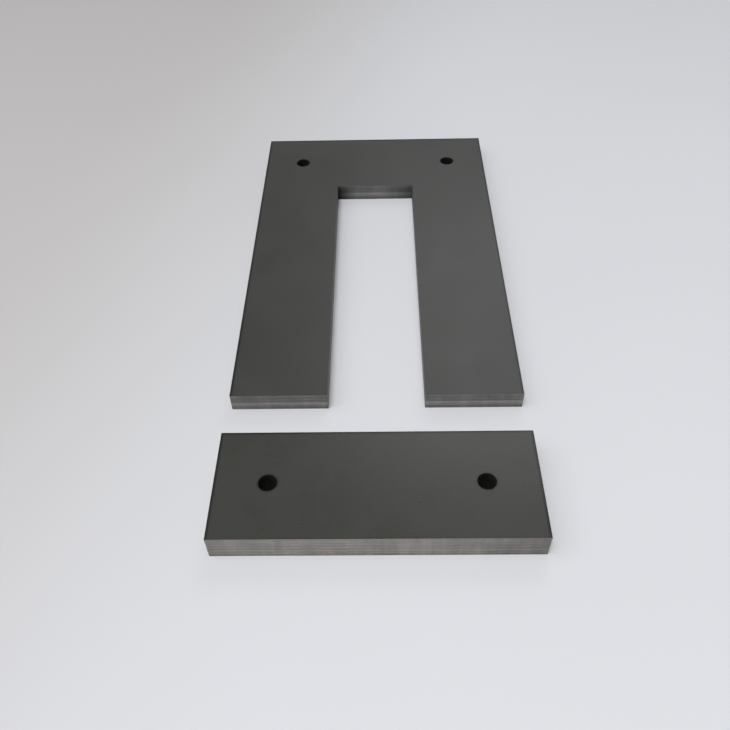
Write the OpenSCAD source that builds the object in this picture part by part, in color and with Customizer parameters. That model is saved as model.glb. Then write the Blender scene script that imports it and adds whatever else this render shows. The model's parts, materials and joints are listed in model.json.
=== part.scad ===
// Laminated core set for a two-leg transformer or choke: a stack of U sheets lying flat,
// and in front of its open end the stack of straight bar sheets that closes the core.
// Millimetres, +Z up. The origin is at the middle of the set's footprint, on the floor.

/* [U sheet] */
// Width of each leg of the U
leg_width = 38; // [20:1:60]
// Width of the coil window between the legs
window_width = 38; // [20:1:60]
// Length of the coil window, from the yoke to the leg ends
window_length = 140; // [60:1:200]
// Width of the yoke that joins the two legs
yoke_width = 44; // [24:1:70]

/* [Bar sheet] */
// Width of the straight bar that closes the open end of the U
bar_width = 44; // [24:1:70]

/* [Bolt holes] */
// Diameter of the clearance holes for the clamping bolts
hole_d = 6.6; // [3.4:0.1:13]

/* [Stacks] */
// Thickness of one sheet with its insulating coat
sheet_t = 0.5; // [0.35:0.05:1]
// Sheets in the U stack
u_sheets = 16; // [2:1:30]
// Sheets in the bar stack
bar_sheets = 22; // [2:1:30]
// Farthest that a sheet lies off the line of its stack
stray = 0.08; // [0:0.01:0.2]

/* [Layout] */
// Clear gap between the leg ends and the bar in front of them
gap = 20; // [2:1:60]

/* [Hidden] */
// Outline of the set, from the bar's front edge to the yoke's back edge
core_width = 2 * leg_width + window_width;
u_length = window_length + yoke_width;
set_length = bar_width + gap + u_length;
bar_front_y = -set_length / 2;
leg_end_y = bar_front_y + bar_width + gap;

// Bolts stand on the centre lines of the legs, midway across the yoke and the bar
hole_x = (window_width + leg_width) / 2;
hole_facets = 64;

// A cutter runs this far past the edge that it opens
cut_past = 1;

// Turns of the angle from sheet to sheet that spread the strays evenly, along X and along Y
stray_turn_x = 137.5;
stray_turn_y = 98.2;

coat_grey = [0.31, 0.31, 0.29];
bar_grey = [0.29, 0.29, 0.27];

function sheet_name(stack, n) = str(stack, n < 9 ? "_sheet_0" : "_sheet_", n + 1);

// The pair of bolt holes, their centres at distance y from the edge on the X axis
module bolt_holes(y) {
    for (side = [-1, 1])
        translate([side * hole_x, y])
            circle(d = hole_d, $fn = hole_facets);
}

// Stamped outline of a U sheet, with its leg ends on the X axis
module u_outline() {
    difference() {
        translate([-core_width / 2, 0])
            square([core_width, u_length]);
        translate([-window_width / 2, -cut_past])
            square([window_width, window_length + cut_past]);
        bolt_holes(window_length + yoke_width / 2);
    }
}

// Stamped outline of a bar sheet, with its front edge on the X axis
module bar_outline() {
    difference() {
        translate([-core_width / 2, 0])
            square([core_width, bar_width]);
        bolt_holes(bar_width / 2);
    }
}

// Lays an outline as sheet n of a stack: face to face on the one below, a hair off its line
module lay_sheet(n, edge_y) {
    translate([
        stray * sin(stray_turn_x * n),
        edge_y + stray * sin(stray_turn_y * n),
        n * sheet_t
    ])
        linear_extrude(height = sheet_t)
            children();
}

module u_sheet(n) {
    color(coat_grey)
        lay_sheet(n, leg_end_y)
            u_outline();
}

module bar_sheet(n) {
    color(bar_grey)
        lay_sheet(n, bar_front_y)
            bar_outline();
}

for (n = [0 : u_sheets - 1])
    u_sheet(n);

for (n = [0 : bar_sheets - 1])
    bar_sheet(n);
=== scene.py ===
import json
import math

import bpy
from mathutils import Matrix, Vector


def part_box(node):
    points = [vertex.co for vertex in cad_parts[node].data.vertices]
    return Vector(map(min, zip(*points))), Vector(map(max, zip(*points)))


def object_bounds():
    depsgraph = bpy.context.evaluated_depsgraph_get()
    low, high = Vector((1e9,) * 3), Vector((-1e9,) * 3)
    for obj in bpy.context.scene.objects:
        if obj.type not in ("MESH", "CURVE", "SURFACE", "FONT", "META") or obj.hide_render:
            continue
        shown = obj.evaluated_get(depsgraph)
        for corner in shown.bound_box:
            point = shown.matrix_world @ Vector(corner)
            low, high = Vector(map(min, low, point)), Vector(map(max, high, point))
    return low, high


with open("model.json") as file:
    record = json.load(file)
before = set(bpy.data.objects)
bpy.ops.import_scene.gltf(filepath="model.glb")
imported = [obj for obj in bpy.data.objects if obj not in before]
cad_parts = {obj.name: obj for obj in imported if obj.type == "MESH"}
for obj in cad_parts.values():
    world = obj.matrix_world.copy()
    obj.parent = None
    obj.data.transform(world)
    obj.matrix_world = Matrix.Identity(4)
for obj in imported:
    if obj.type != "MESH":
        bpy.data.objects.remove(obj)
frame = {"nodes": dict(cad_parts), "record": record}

cad_low, cad_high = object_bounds()


# U sheets
# Each sheet is stamped from silicon steel strip with a dark satin insulating coat on both faces.
# Its edges are bare where the die sheared them. The sheets lie loose, one on the other.

mm_per_metre = 1000.0
u_names = sorted(name for name in frame["nodes"] if name.startswith("u_sheet_"))
u_die_roll = 0.00004
# Each tone goes with a share of the stack's height, counted from the bottom. The lowest sheets are
# darker as painted shade near the floor; the other tones differ from sheet to sheet.
u_finish = {
    "coat": (0.047, 0.048, 0.044, 1.0),
    "coat_roughness": 0.35,
    "rolling_turn": 0.0,
    # The U's cut steel is set darker than the bar's as painted shade for its leg ends and window end.
    "steel": (0.228, 0.227, 0.219, 1.0),
    # The bore colour is painted shade inside the bolt holes.
    "bore_shade": (0.040, 0.040, 0.036, 1.0),
    "streaks": 0.35,
    "lines": 0.7,
    "warmth": 0.25,
    "tones_and_low_shade": [
        (0.0, 0.76), (0.22, 0.79), (0.30, 1.20), (0.42, 1.23), (0.52, 0.84), (0.80, 0.82), (1.0, 0.86),
    ],
}


def place(tree, kind, inputs=None, **settings):
    """Adds a node, sets its properties, and sets or links its inputs by name or number."""
    made = tree.nodes.new(kind)
    for name, value in settings.items():
        setattr(made, name, value)
    for key, value in (inputs or {}).items():
        if isinstance(value, bpy.types.NodeSocket):
            tree.links.new(value, made.inputs[key])
        else:
            made.inputs[key].default_value = value
    return made


def calc(tree, operation, *values):
    """Adds a Math node and returns its result."""
    return place(tree, "ShaderNodeMath", dict(enumerate(values)), operation=operation).outputs[0]


def split(tree, vector):
    """Splits a vector, and returns its X, Y and Z."""
    return place(tree, "ShaderNodeSeparateXYZ", {0: vector}).outputs


def stretch(tree, position, scale, turn=0.0):
    """Stretches a position along the axes, and turns it about Z."""
    values = {"Vector": position, "Scale": scale, "Rotation": (0.0, 0.0, turn)}
    return place(tree, "ShaderNodeMapping", values).outputs["Vector"]


def noise(tree, position, cells, detail=2.0):
    """Adds a noise texture with so many cells to a unit of the position, and returns its value."""
    values = {"Vector": position, "Scale": cells, "Detail": detail}
    return place(tree, "ShaderNodeTexNoise", values).outputs["Fac"]


def grain(tree, position, cells, detail=2.0):
    """Noise that is drawn out: it has its own number of cells to a unit along each axis."""
    return noise(tree, stretch(tree, position, cells), 1.0, detail)


def ramp(tree, value, low, high, to_low, to_high, kind="SMOOTHSTEP"):
    """Maps a value between two limits to another range, and holds it there."""
    values = {"Value": value, "From Min": low, "From Max": high, "To Min": to_low, "To Max": to_high}
    return place(tree, "ShaderNodeMapRange", values, interpolation_type=kind).outputs["Result"]


def waver(tree, value, reach):
    """Turns a noise value into a deviation of up to so much either way."""
    usual_low = 0.3
    usual_high = 0.7
    return ramp(tree, value, usual_low, usual_high, -reach, reach)


def blend(tree, share, first, second, kind="Color"):
    """Mixes two colours, or two values if the kind is Float, and returns the mix."""
    made = place(tree, "ShaderNodeMix", data_type="RGBA" if kind == "Color" else "FLOAT")
    for name, value in (("Factor_Float", share), ("A_" + kind, first), ("B_" + kind, second)):
        socket = next(s for s in made.inputs if s.identifier == name)
        if isinstance(value, bpy.types.NodeSocket):
            tree.links.new(value, socket)
        else:
            socket.default_value = value
    return next(s for s in made.outputs if s.identifier == "Result_" + kind)


def tint(tree, colour, gain):
    """Brightens or darkens a colour by a value."""
    return place(tree, "ShaderNodeVectorMath", {0: colour, "Scale": gain}, operation="SCALE").outputs[0]


def start_group(name, inputs, outputs):
    """Makes a shader node group with named sockets, and returns it with its two ends' sockets."""
    group = bpy.data.node_groups.new(name, "ShaderNodeTree")
    for socket_name, kind in inputs.items():
        group.interface.new_socket(socket_name, in_out="INPUT", socket_type="NodeSocket" + kind)
    for socket_name, kind in outputs.items():
        group.interface.new_socket(socket_name, in_out="OUTPUT", socket_type="NodeSocket" + kind)
    return group, group.nodes.new("NodeGroupInput").outputs, group.nodes.new("NodeGroupOutput").inputs


def make_coat_group():
    """Insulating coat on a rolled face: soft mottling, faint rolling lines along Y, and a fine tooth.

    It darkens unevenly towards the rim of the sheet. Cells are counted to the millimetre.
    """
    mottle_cells = 0.05
    mottle_tone = 0.03
    mottle_roughness = 0.03
    line_cells = (2.5, 0.02, 0.02)
    line_tone = 0.004
    line_roughness = 0.002
    line_height = 0.012
    tooth_cells = 5.0
    tooth_tone = 0.015
    tooth_height = 0.3
    worn_cells = 0.06
    worn_low = 0.35
    worn_high = 0.65
    rim_from = 0.30
    rim_to = 1.40
    rim_darkest = 0.25
    rim_palest = 0.40
    many_octaves = 3.0
    given_kinds = {"Position": "Vector", "Coat": "Color", "Rim": "Float", "Base Roughness": "Float"}
    result_kinds = {"Colour": "Color", "Roughness": "Float", "Height": "Float"}
    group, given, result = start_group("insulating_coat", given_kinds, result_kinds)
    position = given["Position"]
    mottle = noise(group, position, mottle_cells, many_octaves)
    lines = grain(group, position, line_cells, many_octaves)
    tooth = noise(group, position, tooth_cells)
    gain = calc(group, "ADD", waver(group, mottle, mottle_tone), 1.0)
    gain = calc(group, "ADD", waver(group, lines, line_tone), gain)
    gain = calc(group, "ADD", waver(group, tooth, tooth_tone), gain)
    worn = noise(group, position, worn_cells)
    rim_gain = ramp(group, worn, worn_low, worn_high, rim_darkest, rim_palest)
    rim_gain = ramp(group, given["Rim"], rim_from, rim_to, rim_gain, 1.0)
    gain = calc(group, "MULTIPLY", gain, rim_gain)
    group.links.new(tint(group, given["Coat"], gain), result["Colour"])
    roughness = calc(group, "ADD", waver(group, mottle, mottle_roughness), given["Base Roughness"])
    roughness = calc(group, "ADD", waver(group, lines, line_roughness), roughness)
    group.links.new(roughness, result["Roughness"])
    height = calc(group, "MULTIPLY_ADD", lines, line_height, calc(group, "MULTIPLY", tooth, tooth_height))
    group.links.new(height, result["Height"])
    return group


def make_edge_group():
    """Sheared edges of a stack: a tone of its own on each sheet, and streaks up the stack.

    Each edge is burnished in its upper part and torn below. Cells are counted to the millimetre.
    """
    fine_cells = (1.6, 1.6, 0.05)
    fine_tone = 0.08
    fine_roughness = 0.06
    broad_cells = (0.45, 0.45, 0.05)
    broad_tone = 0.10
    wide_cells = (0.10, 0.10, 0.05)
    wide_tone = 0.10
    own_tone = 0.10
    along_cells = (0.05, 0.05, 0.0)
    along_tone = 0.12
    apart_by = 7.3
    burnish_from = 0.55
    burnish_to = 0.72
    burnish_half = 0.5
    burnish_tone = 0.09
    burnish_roughness = -0.10
    painted_shade_gain = 0.20
    warm_cells = (0.20, 0.20, 0.06)
    warm_low = 0.45
    warm_high = 0.70
    warm_steel = (0.40, 0.345, 0.335, 1.0)
    cut_roughness = 0.52
    torn_cells = 9.0
    many_octaves = 3.0
    given_kinds = {"Position": "Vector", "Steel": "Color", "Sheet": "Float", "Tone": "Float"}
    given_kinds.update({"Streaks": "Float", "Lines": "Float", "Warmth": "Float", "Painted Shade": "Float"})
    result_kinds = {"Colour": "Color", "Roughness": "Float", "Height": "Float"}
    group, given, result = start_group("sheared_edge", given_kinds, result_kinds)
    position = given["Position"]
    level = calc(group, "DIVIDE", split(group, position)["Z"], given["Sheet"])
    number = calc(group, "FLOOR", level)
    within = calc(group, "FRACT", level)
    fine = grain(group, position, fine_cells, many_octaves)
    broad = grain(group, position, broad_cells)
    wide = grain(group, position, wide_cells)
    streak = calc(group, "ADD", waver(group, fine, fine_tone), waver(group, broad, broad_tone))
    streak = calc(group, "ADD", waver(group, wide, wide_tone), streak)
    own = place(group, "ShaderNodeTexWhiteNoise", {"W": number}, noise_dimensions="1D").outputs["Value"]
    own = ramp(group, own, 0.0, 1.0, -own_tone, own_tone, "LINEAR")
    apart = calc(group, "MULTIPLY", number, apart_by)
    apart = place(group, "ShaderNodeCombineXYZ", {"Z": apart}).outputs[0]
    spot_terms = {0: stretch(group, position, along_cells), 1: apart}
    own_spot = place(group, "ShaderNodeVectorMath", spot_terms, operation="ADD").outputs[0]
    along = noise(group, own_spot, 1.0)
    line = calc(group, "ADD", own, waver(group, along, along_tone))
    burnish = ramp(group, within, burnish_from, burnish_to, -burnish_half, burnish_half)
    burnish = calc(group, "MULTIPLY", burnish, given["Lines"])
    gain = calc(group, "MULTIPLY_ADD", streak, given["Streaks"], given["Tone"])
    gain = calc(group, "MULTIPLY_ADD", line, given["Lines"], gain)
    gain = calc(group, "MULTIPLY", gain, calc(group, "MULTIPLY_ADD", burnish, burnish_tone, 1.0))
    # Painted shade from the outline group darkens the cut steel.
    shaded = ramp(group, given["Painted Shade"], 0.0, 1.0, 1.0, painted_shade_gain, "LINEAR")
    gain = calc(group, "MULTIPLY", gain, shaded)
    warm = ramp(group, grain(group, position, warm_cells), warm_low, warm_high, 0.0, given["Warmth"])
    toned = blend(group, warm, given["Steel"], warm_steel)
    group.links.new(tint(group, toned, gain), result["Colour"])
    roughness = calc(group, "MULTIPLY_ADD", burnish, burnish_roughness, cut_roughness)
    dragged_roughness = calc(group, "MULTIPLY", waver(group, fine, fine_roughness), given["Streaks"])
    group.links.new(calc(group, "ADD", dragged_roughness, roughness), result["Roughness"])
    torn = noise(group, position, torn_cells, many_octaves)
    torn_height = calc(group, "SUBTRACT", burnish_half, burnish)
    dragged = calc(group, "MULTIPLY", fine, given["Streaks"])
    group.links.new(calc(group, "MULTIPLY_ADD", torn, torn_height, dragged), result["Height"])
    return group


def make_outline_group():
    """How far a point is from the stamped outline, and masks for what lies near it, in millimetres.

    The ledge is the bare strip where a sheet below the top stands out. The painted shade darkens the
    cut steel at the inner corners of the window, and at the ends of a straight sheet.
    """
    faint_rim = 0.80
    hole_rim = 0.40
    covered_from = 0.1
    covered_to = 0.3
    ledge_from = 0.18
    ledge_to = 0.30
    bore_from = 0.06
    bore_to = 0.16
    middle_half = 1.0
    corner_from = 1.0
    left_reach = 9.5
    right_reach = 15.0
    left_shade = 1.0
    right_shade = 0.55
    top_shade = 0.45
    full_shade_depth = 2.8
    left_end_reach = 18.0
    right_end_reach = 32.0
    left_end_share = 0.52
    size_names = ["Half Width", "Front", "Back", "Top", "Window Half", "Window End"]
    size_names += ["End Shade", "Hole X", "Hole Y", "Hole Radius"]
    given_kinds = {"Position": "Vector", **{name: "Float" for name in size_names}}
    result_kinds = {"Rim": "Float", "Ledge": "Float", "Bore": "Float", "Painted Shade": "Float"}
    group, given, result = start_group("stamped_outline", given_kinds, result_kinds)
    axes = split(group, given["Position"])
    across = calc(group, "ABSOLUTE", axes["X"])
    along = axes["Y"]
    to_side = calc(group, "SUBTRACT", given["Half Width"], across)
    to_back = calc(group, "SUBTRACT", given["Back"], along)
    to_front = calc(group, "SUBTRACT", along, given["Front"])
    past_leg = calc(group, "SUBTRACT", across, given["Window Half"])
    past_end = calc(group, "SUBTRACT", along, given["Window End"])
    to_window = calc(group, "MAXIMUM", past_leg, past_end)
    off_x = calc(group, "POWER", calc(group, "SUBTRACT", across, given["Hole X"]), 2.0)
    off_y = calc(group, "POWER", calc(group, "SUBTRACT", along, given["Hole Y"]), 2.0)
    from_axis = calc(group, "SQRT", calc(group, "ADD", off_x, off_y))
    to_hole = calc(group, "SUBTRACT", from_axis, given["Hole Radius"])
    outside = calc(group, "MINIMUM", to_side, to_back)
    inside = calc(group, "MINIMUM", to_front, to_window)
    rim = calc(group, "MINIMUM", outside, calc(group, "ADD", inside, faint_rim))
    rim = calc(group, "MINIMUM", rim, calc(group, "ADD", to_hole, hole_rim))
    group.links.new(rim, result["Rim"])
    below_top = calc(group, "SUBTRACT", given["Top"], axes["Z"])
    covered = ramp(group, below_top, covered_from, covered_to, 0.0, 1.0)
    ledge = ramp(group, calc(group, "MINIMUM", outside, inside), ledge_from, ledge_to, 1.0, 0.0)
    group.links.new(calc(group, "MULTIPLY", ledge, covered), result["Ledge"])
    group.links.new(ramp(group, to_hole, bore_from, bore_to, 1.0, 0.0), result["Bore"])
    # Painted shade in the window's inner corners: deeper on the left, and darker lower down.
    from_corner = calc(group, "ADD", calc(group, "ABSOLUTE", past_leg), calc(group, "ABSOLUTE", past_end))
    on_right = ramp(group, axes["X"], -middle_half, middle_half, 0.0, 1.0)
    reach = ramp(group, on_right, 0.0, 1.0, left_reach, right_reach, "LINEAR")
    shade = ramp(group, on_right, 0.0, 1.0, left_shade, right_shade, "LINEAR")
    corner = ramp(group, from_corner, corner_from, reach, shade, 0.0, "LINEAR")
    deeper = ramp(group, below_top, 0.0, full_shade_depth, top_shade, 1.0, "LINEAR")
    corner = calc(group, "MULTIPLY", corner, deeper)
    # Painted shade at the ends of a straight sheet: deeper and longer at the right end.
    end_reach = ramp(group, on_right, 0.0, 1.0, left_end_reach, right_end_reach, "LINEAR")
    end_share = ramp(group, on_right, 0.0, 1.0, left_end_share, 1.0, "LINEAR")
    end_shade = calc(group, "MULTIPLY", given["End Shade"], end_share)
    ends = ramp(group, to_side, 0.0, end_reach, end_shade, 0.0)
    group.links.new(calc(group, "MAXIMUM", corner, ends), result["Painted Shade"])
    return group


coat_group = make_coat_group()
edge_group = make_edge_group()
outline_group = make_outline_group()


def stack_tone(tree, height, sheet, count, tones_and_low_shade):
    """The tone of a sheet's edge from where its middle lies in the stack; low sheets get painted shade."""
    number = calc(tree, "FLOOR", calc(tree, "DIVIDE", height, sheet))
    share = calc(tree, "DIVIDE", calc(tree, "ADD", number, 0.5), float(count))
    made = place(tree, "ShaderNodeFloatCurve", {"Value": share})
    made.mapping.use_clip = False
    points = made.mapping.curves[0].points
    ready_points = len(points)
    for index, (at, tone) in enumerate(tones_and_low_shade):
        if index < ready_points:
            points[index].location = (at, tone)
        else:
            points.new(at, tone)
    made.mapping.update()
    return made.outputs[0]


def make_sheet_material(name, outline, finish, sheet, count):
    """Coated faces with bare sheared edges, told apart by which way the surface faces."""
    edge_slope = 0.6
    face_slope = 0.9
    steel_metallic = 0.9
    bore_roughness = 0.9
    relief_strength = 0.35
    relief_depth = 0.00002
    material = bpy.data.materials.new(name)
    material.use_nodes = True
    tree = material.node_tree
    shader = tree.nodes["Principled BSDF"]
    spot = place(tree, "ShaderNodeTexCoord").outputs["Object"]
    spot_mm = stretch(tree, spot, (mm_per_metre, mm_per_metre, mm_per_metre))
    near_values = {"Position": spot_mm, **outline}
    near = place(tree, "ShaderNodeGroup", near_values, node_tree=outline_group).outputs
    face_values = {
        "Position": stretch(tree, spot_mm, (1.0, 1.0, 1.0), finish["rolling_turn"]),
        "Coat": finish["coat"],
        "Rim": near["Rim"],
        "Base Roughness": finish["coat_roughness"],
    }
    face = place(tree, "ShaderNodeGroup", face_values, node_tree=coat_group).outputs
    cut_values = {
        "Position": spot_mm,
        "Steel": finish["steel"],
        "Sheet": sheet,
        "Tone": stack_tone(tree, split(tree, spot_mm)["Z"], sheet, count, finish["tones_and_low_shade"]),
        "Streaks": finish["streaks"],
        "Lines": finish["lines"],
        "Warmth": finish["warmth"],
        "Painted Shade": near["Painted Shade"],
    }
    cut = place(tree, "ShaderNodeGroup", cut_values, node_tree=edge_group).outputs
    facing = split(tree, place(tree, "ShaderNodeNewGeometry").outputs["True Normal"])
    is_cut = ramp(tree, calc(tree, "ABSOLUTE", facing["Z"]), edge_slope, face_slope, 1.0, 0.0)
    is_cut = calc(tree, "MAXIMUM", is_cut, near["Ledge"])
    colour = blend(tree, is_cut, face["Colour"], cut["Colour"])
    # Inside the bolt holes the colour is painted shade.
    colour = blend(tree, near["Bore"], colour, finish["bore_shade"])
    tree.links.new(colour, shader.inputs["Base Color"])
    roughness = blend(tree, is_cut, face["Roughness"], cut["Roughness"], "Float")
    roughness = blend(tree, near["Bore"], roughness, bore_roughness, "Float")
    tree.links.new(roughness, shader.inputs["Roughness"])
    is_bare = calc(tree, "MAXIMUM", is_cut, near["Bore"])
    tree.links.new(calc(tree, "MULTIPLY", is_bare, steel_metallic), shader.inputs["Metallic"])
    height = blend(tree, is_cut, face["Height"], cut["Height"], "Float")
    relief = {"Height": height, "Strength": relief_strength, "Distance": relief_depth}
    bump = place(tree, "ShaderNodeBump", relief)
    tree.links.new(bump.outputs["Normal"], shader.inputs["Normal"])
    return material


def dress_sheets(names, material, die_roll):
    """Gives each sheet its finish, and rounds its sheared edges by the die roll."""
    join_distance = 0.000001
    roll_segments = 2
    sharp_angle = math.radians(50.0)
    for name in names:
        sheet = frame["nodes"][name]
        sheet.data.materials[0] = material
        weld = sheet.modifiers.new("join_faces", "WELD")
        weld.merge_threshold = join_distance
        rounding = sheet.modifiers.new("die_roll", "BEVEL")
        rounding.width = die_roll
        rounding.segments = roll_segments
        rounding.limit_method = "ANGLE"
        rounding.angle_limit = sharp_angle


def bolt_holes(mount_name):
    """Place and radius in millimetres of the pair of bolt holes that a mount states."""
    mount = next(m for m in frame["record"]["mounts"] if m["name"] == mount_name)
    return {
        "Hole X": mount["dims"]["spacing_x_mm"] / 2.0,
        "Hole Y": mount["pos_m"][1] * mm_per_metre,
        "Hole Radius": mount["dims"]["hole_r_mm"],
    }


u_low, u_high = (corner * mm_per_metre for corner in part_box(u_names[0]))
sheet_thickness = u_high.z - u_low.z
window_box = frame["record"]["physics"]["openings"][0]["box_m"]
u_outline = {
    "Half Width": u_high.x,
    "Front": u_low.y,
    "Back": u_high.y,
    "Top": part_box(u_names[-1])[1].z * mm_per_metre,
    "Window Half": window_box[1][0] * mm_per_metre,
    "Window End": window_box[1][1] * mm_per_metre,
    "End Shade": 0.0,
    **bolt_holes("u_bolt_holes"),
}
u_material = make_sheet_material("u_coated_steel", u_outline, u_finish, sheet_thickness, len(u_names))
dress_sheets(u_names, u_material, u_die_roll)


# Bar sheets
# Straight strips of the same coated steel, cut to the width of the U, that close its open end.
# They were rolled along their length, so the faint lines of the coat run across the set.

bar_names = sorted(name for name in frame["nodes"] if name.startswith("bar_sheet_"))
bar_count = len(bar_names)
bar_die_roll = 0.000035
bar_finish = {
    "coat": (0.0480, 0.0480, 0.0430, 1.0),
    "coat_roughness": 0.29,
    "rolling_turn": math.pi / 2.0,
    "steel": (0.312, 0.303, 0.278, 1.0),
    # The bore colour is painted shade inside the bolt holes.
    "bore_shade": (0.036, 0.036, 0.033, 1.0),
    "streaks": 0.55,
    "lines": 0.45,
    "warmth": 0.45,
    # The lowest sheets are darker: painted shade near the floor.
    "tones_and_low_shade": [
        (0.0, 0.76), (0.07, 0.86), (0.16, 0.95), (0.5, 0.98), (0.8, 1.0), (0.9, 1.05), (1.0, 1.05),
    ],
}
bar_low, bar_high = (corner * mm_per_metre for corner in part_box(bar_names[0]))
# A bar has no window, so the window's end is put well in front of it.
window_away = 50.0
bar_outline = {
    "Half Width": bar_high.x,
    "Front": bar_low.y,
    "Back": bar_high.y,
    "Top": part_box(bar_names[-1])[1].z * mm_per_metre,
    "Window Half": 0.0,
    "Window End": bar_low.y - window_away,
    # Painted shade at the bar's two ends, deeper and longer at the right end.
    "End Shade": 0.34,
    **bolt_holes("bar_bolt_holes"),
}
bar_material = make_sheet_material("bar_coated_steel", bar_outline, bar_finish, sheet_thickness, bar_count)
dress_sheets(bar_names, bar_material, bar_die_roll)


# Floor
# A plain round table top, pale and matt, wide enough to reach the horizon in low views.
# Painted shade makes it a little greyer and warmer on the left, and painted light makes it paler towards
# the front.

floor_radius = 4.8
floor_corners = 96
left_painted_shade = (0.571, 0.553, 0.551, 1.0)
pale_colour = (0.712, 0.722, 0.754, 1.0)
left_from = -0.20
left_to = 0.02
left_turn = math.radians(15.0)
front_at = -0.25
back_at = 0.36
front_gain = 1.11
back_gain = 0.84
floor_cells = 6.0
floor_tone = 0.006
bpy.ops.object.select_all(action="DESELECT")
bpy.ops.mesh.primitive_circle_add(
    vertices=floor_corners, radius=floor_radius, fill_type="NGON", location=(0.0, 0.0, cad_low.z)
)
floor = bpy.context.active_object
floor.name = "floor"
bpy.ops.object.transform_apply(location=True, rotation=True, scale=True)
floor_material = bpy.data.materials.new("pale_table")
floor_material.use_nodes = True
floor_tree = floor_material.node_tree
floor_shader = floor_tree.nodes["Principled BSDF"]
floor_spot = place(floor_tree, "ShaderNodeTexCoord").outputs["Object"]
turned_spot = stretch(floor_tree, floor_spot, (1.0, 1.0, 1.0), left_turn)
# Painted shade on the left.
pale_share = ramp(floor_tree, split(floor_tree, turned_spot)["X"], left_from, left_to, 0.0, 1.0)
floor_colour = blend(floor_tree, pale_share, left_painted_shade, pale_colour)
depth = split(floor_tree, floor_spot)["Y"]
# Painted light towards the front, and painted shade towards the back.
depth_painted_light = ramp(floor_tree, depth, front_at, back_at, front_gain, back_gain, "LINEAR")
floor_mottle = waver(floor_tree, noise(floor_tree, floor_spot, floor_cells), floor_tone)
floor_colour = tint(floor_tree, floor_colour, calc(floor_tree, "ADD", floor_mottle, depth_painted_light))
floor_tree.links.new(floor_colour, floor_shader.inputs["Base Color"])
floor_shader.inputs["Roughness"].default_value = 0.7
floor_shader.inputs["Specular IOR Level"].default_value = 0.2
floor.data.materials.append(floor_material)


# Light
# A soft box overhead, a wide weaker one on the left that gives the long soft shadows, one behind on the
# right that the satin coat mirrors, and a surround that is pale near the horizon and dimmer overhead.

white = (1.0, 1.0, 1.0)
bluish = (0.97, 0.99, 1.0)
sky_colour = (0.80, 0.81, 0.83, 1.0)
horizon_height = 0.04
overhead_height = 0.42
horizon_strength = 0.80
overhead_strength = 0.17


def add_soft_box(name, place_at, width, height, power, colour):
    """Adds a rectangular area lamp that faces the middle of the set."""
    lamp_data = bpy.data.lights.new(name, "AREA")
    lamp_data.shape = "RECTANGLE"
    lamp_data.size = width
    lamp_data.size_y = height
    lamp_data.energy = power
    lamp_data.color = colour
    lamp = bpy.data.objects.new(name, lamp_data)
    lamp.location = place_at
    lamp.rotation_euler = (-Vector(place_at)).to_track_quat("-Z", "Y").to_euler()
    bpy.context.scene.collection.objects.link(lamp)


add_soft_box("top_box", (-0.54, -1.65, 6.75), width=3.0, height=3.3, power=312.0, colour=white)
add_soft_box("left_box", (-4.05, -0.60, 5.70), width=5.4, height=5.4, power=110.0, colour=white)
add_soft_box("back_right_box", (0.250, 0.995, 1.090), width=0.64, height=0.64, power=2.20, colour=bluish)
world = bpy.data.worlds.new("surround")
world.use_nodes = True
sky_tree = world.node_tree
sky = sky_tree.nodes["Background"]
sky.inputs["Color"].default_value = sky_colour
up = split(sky_tree, place(sky_tree, "ShaderNodeTexCoord").outputs["Generated"])["Z"]
sky_strength = ramp(sky_tree, up, horizon_height, overhead_height, horizon_strength, overhead_strength)
sky_tree.links.new(sky_strength, sky.inputs["Strength"])
bpy.context.scene.world = world
bpy.context.scene.view_settings.view_transform = "Standard"


# Camera
# Looks down on the set from the bar's side, a little turned and tilted as it was held by hand.
# Its place and angles are those at which the solids meet the edges and holes in the photograph.

camera_place = Vector((0.00098, -0.24980, 0.23193))
camera_turn = math.radians(-1.534)
camera_dip = math.radians(47.436)
camera_roll = math.radians(1.702)
camera_data = bpy.data.cameras.new("camera")
camera_data.sensor_width = 36.0
camera_data.lens = 37.44
camera = bpy.data.objects.new("camera", camera_data)
camera.matrix_world = (
    Matrix.Translation(camera_place)
    @ Matrix.Rotation(-camera_turn, 4, "Z")
    @ Matrix.Rotation(math.pi / 2.0 - camera_dip, 4, "X")
    @ Matrix.Rotation(-camera_roll, 4, "Z")
)
bpy.context.scene.collection.objects.link(camera)
bpy.context.scene.camera = camera
